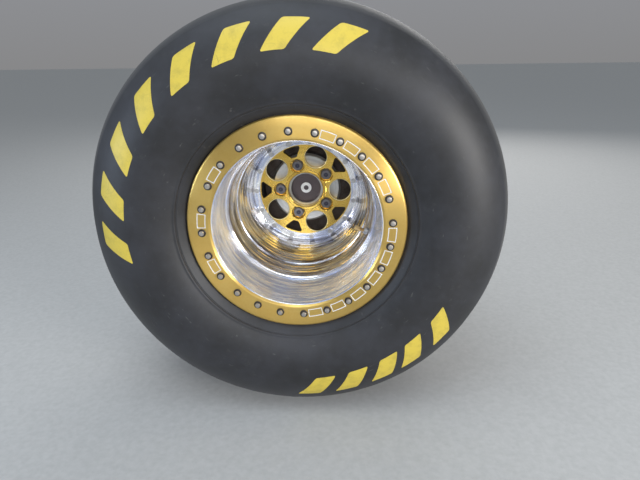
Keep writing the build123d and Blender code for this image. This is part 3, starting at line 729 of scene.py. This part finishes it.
def makeShell(name, path, node, finishes, s):
    bm = bmesh.new()
    profile(bm, shellRows(path, s["sheet"]))
    for edge in bm.edges[:]:
        pieces = int(edge.calc_length() / mm / s["rippleStep"])
        if pieces > 1:
            bmesh.ops.subdivide_edges(bm, edges=[edge], cuts=pieces - 1, use_grid_fill=False)
    for v in bm.verts:
        y = v.co.y / mm
        wave = sum(share * math.sin(rate * y + start) for rate, start, share in s["waves"])
        v.co.x += mm * s["ripple"] * wave
    spinAll(bm, s["steps"])
    for face in bm.faces:
        if s["barrel"][0] < face.calc_center_median().y / mm < s["barrel"][1]:
            face.material_index = 1
    finishPiece(name, bm, [metalMats[key] for key in finishes], [node],
                sharp=s["sharp"])


makeShell("outerShell", outerPath, "outer_shell", ["polishedLip", "barrelShine"], shellSet)
makeShell("innerShell", innerPath, "inner_shell", ["dustyRim"], shellSet)
print("shells made")


# Tyre valve: a washer and nut on the barrel, a threaded stem and a ribbed cap, pointing at the axle
valveSet = {
    "clock": 110.0, "along": -247.5, "foot": 155.2, "footBase": 153.2, "footRadius": 6.0,
    "footEdges": (0.5, 0.3), "stem": 3.7, "root": 3.2, "pitch": 1.1, "stemSteps": 32, "lap": 0.5,
    "washer": 7.6, "washerFrom": 148.3, "washerTo": 146.4, "washerSides": 48, "washerEdge": 0.5,
    "flats": 12.0, "nutFrom": 146.6, "nutTo": 141.4, "nutEdge": 0.8, "edgeSteps": 2,
    "cap": 4.8, "ribs": 18, "dip": 0.93, "capFrom": 132.0, "capTo": 120.5, "capEdge": 1.0,
}


def makeValve(s):  # made along y, then stood up and turned to its clock angle
    rows = [(0, s["foot"], 0), (s["footRadius"], s["foot"], s["footEdges"][0]),
            (s["footRadius"], s["footBase"], s["footEdges"][1]), (s["stem"], s["footBase"], 0)]
    height = s["nutTo"] + s["lap"]
    while height > s["capFrom"]:
        rows += [(s["stem"], height, 0), (s["root"], height - s["pitch"] / 2, 0)]
        height -= s["pitch"]
    rows += [(s["stem"], height, 0), (0, height, 0)]
    bm = bmesh.new()
    profile(bm, rows)
    spinAll(bm, s["stemSteps"])
    addStar(bm, s["ribs"], s["cap"], s["dip"], s["capFrom"], s["capTo"], s["capEdge"])
    addRod(bm, s["washerSides"], s["washer"], s["washerFrom"], s["washerTo"], s["washerEdge"], s["edgeSteps"],
           material=1)
    addRod(bm, 6, s["flats"] / math.sqrt(3), s["nutFrom"], s["nutTo"], s["nutEdge"], s["edgeSteps"],
           material=1)
    turnAll(bm, Matrix.Rotation(math.radians(90), 3, "X"))
    bmesh.ops.translate(bm, verts=bm.verts[:], vec=(0, s["along"] * mm, 0))
    turnAll(bm, clockTurn(s["clock"]))
    finishPiece("tyreValve", bm, [metalMats["wornBrass"], metalMats["zincPlate"]], ["valve_stem"])


makeValve(valveSet)

# CAD pieces that keep their shape, with their edges broken
keptPieces = [  # piece, node, finish, slot, body, edge width
    ("wheelCentre", "wheel_centre", "goldBright", "gold_anodised", "wheel", 0.5),
    ("beadRing", "bead_ring", "machinedFace", "machined_aluminium", "wheel", 0.4),
    ("discBolts", "rotor_bolts", "dustyShadedBolt", "zinc_steel", "wheel", 0.3),
    ("flangeBolts", "flange_bolts", "zincPlate", "zinc_steel", "wheel", 0.4),
    ("innerRace", "bearing_inner", "axleSteel", "axle_steel", "wheel", 0.3),
    ("shaftCollar", "retaining_collar", "axleSteel", "axle_steel", "wheel", 0.3),
    ("outerRace", "bearing_outer", "axleSteel", "axle_steel", "axle_end", 0.3),
    ("brakeBracket", "bracket", "blackPlate", "black_zinc", "axle_end", 0.6),
    ("caliperFront", "caliper_outer", "blackAnodised", "black_anodised", "axle_end", 0.6),
    ("caliperBack", "caliper_inner", "blackAnodised", "black_anodised", "axle_end", 0.6),
    ("caliperBolts", "caliper_bolts", "zincPlate", "zinc_steel", "axle_end", 0.3),
    ("bleedScrews", "bleed_screws", "zincPlate", "zinc_steel", "axle_end", 0.3),
]
for name, node, finish, slotName, body, width in keptPieces:
    softCopy(name, node, metalMats[finish], body, width)
for name, node in (("padFront", "pad_outer"), ("padBack", "pad_inner")):
    softCopy(name, node, padLining, "axle_end")

# Pieces with a second finish on the faces between two planes
twoFinish = [  # piece, node, finish, second finish, from, to, slot, edge width
    ("axleShaft", "axle_shaft", "axleSteel", "machinedFace", -80.0, -68.0, "axle_steel", 0.3),
    # The hat's side and the disc's face take the dark dusty finish: brake dust and painted shade behind the
    # holes
    ("brakeHat", "rotor_hat", "machinedFace", "brakeDustAndShade", -66.0, -20.0, "machined_aluminium", 0.5),
    ("brakeDisc", "rotor_disc", "brakeIron", "brakeDustAndShade", -31.0, -29.5, "brake_iron", 0.3),
]
for name, node, finish, second, low, high, slotName, width in twoFinish:
    piece = softCopy(name, node, metalMats[finish], width=width)
    piece.data.materials.append(metalMats[second])
    for face in piece.data.polygons:
        if low < face.center.y / mm < high:
            face.material_index = 1

# The broken edges of the round holes get a paler, brighter gold: a painted highlight
rimSet = {"circle": 82.8, "count": 5, "phase": 18.0, "reach": (24.5, 27.8), "slope": (-0.93, -0.25)}


def shineRims(s):
    mesh = bpy.data.objects["wheelCentre"].data
    mesh.materials.append(metalMats["goldEdgeHighlight"])
    clocks = [s["phase"] + 360 / s["count"] * i for i in range(s["count"])]
    holes = [clockTurn(clock) @ Vector((0, 0, s["circle"])) for clock in clocks]
    for face in mesh.polygons:
        c = face.center / mm
        away = min(math.hypot(c.x - hole.x, c.z - hole.z) for hole in holes)
        if s["reach"][0] < away < s["reach"][1] and s["slope"][0] < face.normal.y < s["slope"][1]:
            face.material_index = 1


shineRims(rimSet)
print("kept pieces dressed")


# Hub plug: a dark cap with a bright turned disc and a centre hole
plugSet = {
    "steps": 96,
    "cap": [(0, -63.5, 0), (0, -64.1, 0), (5.75, -64.1, 0.2), (5.75, -68.0, 0.2), (33.6, -68.0, 0.3),
            (34.4, -67.4, 0.3), (35.2, -68.2, 0.3), (36.25, -68.2, 0.5), (36.25, -63.5, 0)],
    "disc": [(5.9, -67.8, 0), (5.9, -69.2, 0.3), (8.2, -69.2, 0.2), (8.7, -68.9, 0.2), (9.2, -69.2, 0.2),
             (12.9, -69.2, 0.5), (12.9, -67.8, 0)],
}


def makePlug(s):
    for name, rows, finish, replaced in (("hubPlug", s["cap"], "darkAnodised", ["hub_plug"]),
                                         ("plugDisc", s["disc"], "cutSilver", [])):
        bm = bmesh.new()
        profile(bm, rows)
        spinAll(bm, s["steps"])
        finishPiece(name, bm, [metalMats[finish]], replaced)


makePlug(plugSet)

# Wheel nuts and studs, sunk in their pockets
nutSet = {
    "circle": 60.325, "count": 5, "phase": -18.0, "seat": -77.0, "front": -87.0, "flats": 22.2, "turn": 30,
    "hexFrom": -78.7, "hexEdge": 1.3, "flangeTop": -79.2, "flange": 13.3, "flangeSides": 40,
    "flangeEdge": 0.9, "edgeSteps": 3, "dishRim": 1.2, "dishDepth": 0.1,
}
studSet = {
    "tip": -87.5, "cup": 1.6, "cupDepth": 1.2, "tipEdge": 0.8, "edge": 0.1, "back": -52.5,
    "headBack": -48.5, "radius": 6.35, "root": 5.6, "pitch": 1.27, "crest": (0.45, 0.6), "threadFrom": -86.5,
    "threadTo": -76.0, "head": 9.5, "headEdges": (0.2, 1.0), "steps": 32,
}


def makeNuts(s):
    bm = bmesh.new()
    addRod(bm, 6, s["flats"] / math.sqrt(3), s["hexFrom"], s["front"], s["hexEdge"], s["edgeSteps"],
           turn=s["turn"])
    addRod(bm, s["flangeSides"], s["flange"], s["seat"], s["flangeTop"], s["flangeEdge"], s["edgeSteps"])
    caps = [f for f in bm.faces if all(abs(v.co.y - s["front"] * mm) < flatGap for v in f.verts)]
    bmesh.ops.inset_region(bm, faces=caps, thickness=s["dishRim"] * mm, depth=-s["dishDepth"] * mm,
                           use_even_offset=True)
    liftTo(bm, s["circle"])
    repeatRound(bm, s["count"], s["phase"])
    finishPiece("lugNuts", bm, [metalMats["nutSteel"]], ["lug_nuts"])


def makeStuds(s, n):
    tip, root, radius = s["tip"], s["root"], s["radius"]
    rows = [(0, tip + s["cupDepth"], 0), (s["cup"], tip, s["edge"]), (root - s["tipEdge"], tip, s["edge"]),
            (root, tip + s["tipEdge"], 0)]
    y = s["threadFrom"]
    while y < s["threadTo"]:
        rows += [(root, y, 0), (radius, y + s["crest"][0], 0), (radius, y + s["crest"][1], 0)]
        y += s["pitch"]
    rows += [(radius, y, 0), (radius, s["back"], 0), (s["head"], s["back"], s["headEdges"][0]),
             (s["head"], s["headBack"], s["headEdges"][1]), (0, s["headBack"], 0)]
    bm = bmesh.new()
    profile(bm, rows)
    spinAll(bm, s["steps"])
    liftTo(bm, n["circle"])
    repeatRound(bm, n["count"], n["phase"])
    finishPiece("wheelStuds", bm, [metalMats["studSteel"]], ["wheel_studs"])


makeNuts(nutSet)
makeStuds(studSet, nutSet)
print("hub made")


# Floor, lights and sky
floorSet = {
    "size": 30.0, "parts": 4, "height": -0.4065, "colour": (0.48, 0.478, 0.47), "fleck": (0.42, 0.418, 0.41),
    "specks": {"Size": 90.0, "Low": 0.35, "High": 0.7}, "rough": 0.85, "bump": 0.1, "depth": 0.0004,
}


def makeFloor(s):
    bm = bmesh.new()
    bmesh.ops.create_grid(bm, x_segments=s["parts"], y_segments=s["parts"], size=s["size"])
    bmesh.ops.translate(bm, verts=bm.verts[:], vec=(0, 0, s["height"]))
    mesh = bpy.data.meshes.new("floor")
    bm.to_mesh(mesh)
    bm.free()
    mat, tree, shader = newMaterial("paleFloor")
    specks = useGroup(tree, blotches, **s["specks"])
    tree.links.new(mixColour(tree, specks["Mask"], s["colour"], s["fleck"]), shader.inputs["Base Color"])
    shader.inputs["Roughness"].default_value = s["rough"]
    bump(tree, shader, specks["Soft"], s["bump"], s["depth"])
    mesh.materials.append(mat)
    floor = addObject("floor", mesh)


lightSet = [  # name, place, aim, width, height, power, spread, colour
    ("sideBox", (3.5, -3.2, 0.62), (0, -0.35, 0.0), 1.9, 1.3, 64, 110, (1.0, 0.98, 0.95)),
    ("frontBox", (0.3, -3.3, 1.05), (0, -0.3, 0), 2.0, 1.2, 26, 180, (0.98, 0.99, 1.0)),
    ("topBox", (-0.5, -1.1, 3.0), (0, -0.3, 0), 2.4, 2.0, 42, 180, (0.80, 0.90, 1.0)),
    ("lowBox", (-3.2, -2.0, 0.45), (0, -0.3, -0.1), 1.2, 1.0, 14, 110, (0.66, 0.80, 1.0)),
    ("backBox", (0.9, 3.0, 1.7), (0, 0, 0), 2.4, 1.6, 48, 180, (1.0, 0.99, 0.97)),
]


def addLights(rows):
    for name, place, aim, width, height, power, spreadAngle, colour in rows:
        data = bpy.data.lights.new(name, "AREA")
        data.shape = "RECTANGLE"
        data.size = width
        data.size_y = height
        data.energy = power
        data.spread = math.radians(spreadAngle)
        data.color = colour
        addObject(name, data).matrix_world = lookFrom(place, aim)


skySet = {
    "stops": [(0.0, (0.50, 0.50, 0.50)), (0.49, (0.52, 0.52, 0.53)), (0.54, (0.56, 0.57, 0.60)),
              (0.68, (0.76, 0.82, 0.91)), (1.0, (0.88, 0.95, 1.0))],  # from below to above
    "power": 0.47,
}


def makeSky(s):
    world = bpy.data.worlds.new("softSky")
    world.use_nodes = True
    tree = world.node_tree
    tree.nodes.clear()
    way = addNode(tree, "ShaderNodeTexCoord").outputs["Generated"]
    height = addNode(tree, "ShaderNodeSeparateXYZ", {0: way}).outputs[2]
    ramp = addNode(tree, "ShaderNodeValToRGB", {0: spread(tree, height, -1.0, 1.0)})
    stops = ramp.color_ramp.elements
    for place, colour in s["stops"][1:-1]:
        stops.new(place)
    for stop, (place, colour) in zip(stops, s["stops"]):
        stop.position = place
        stop.color = (*colour, 1)
    back = addNode(tree, "ShaderNodeBackground", {0: ramp.outputs[0], 1: s["power"]})
    addNode(tree, "ShaderNodeOutputWorld", {0: back.outputs[0]})
    bpy.context.scene.world = world


makeFloor(floorSet)
addLights(lightSet)
makeSky(skySet)
print("stage set")
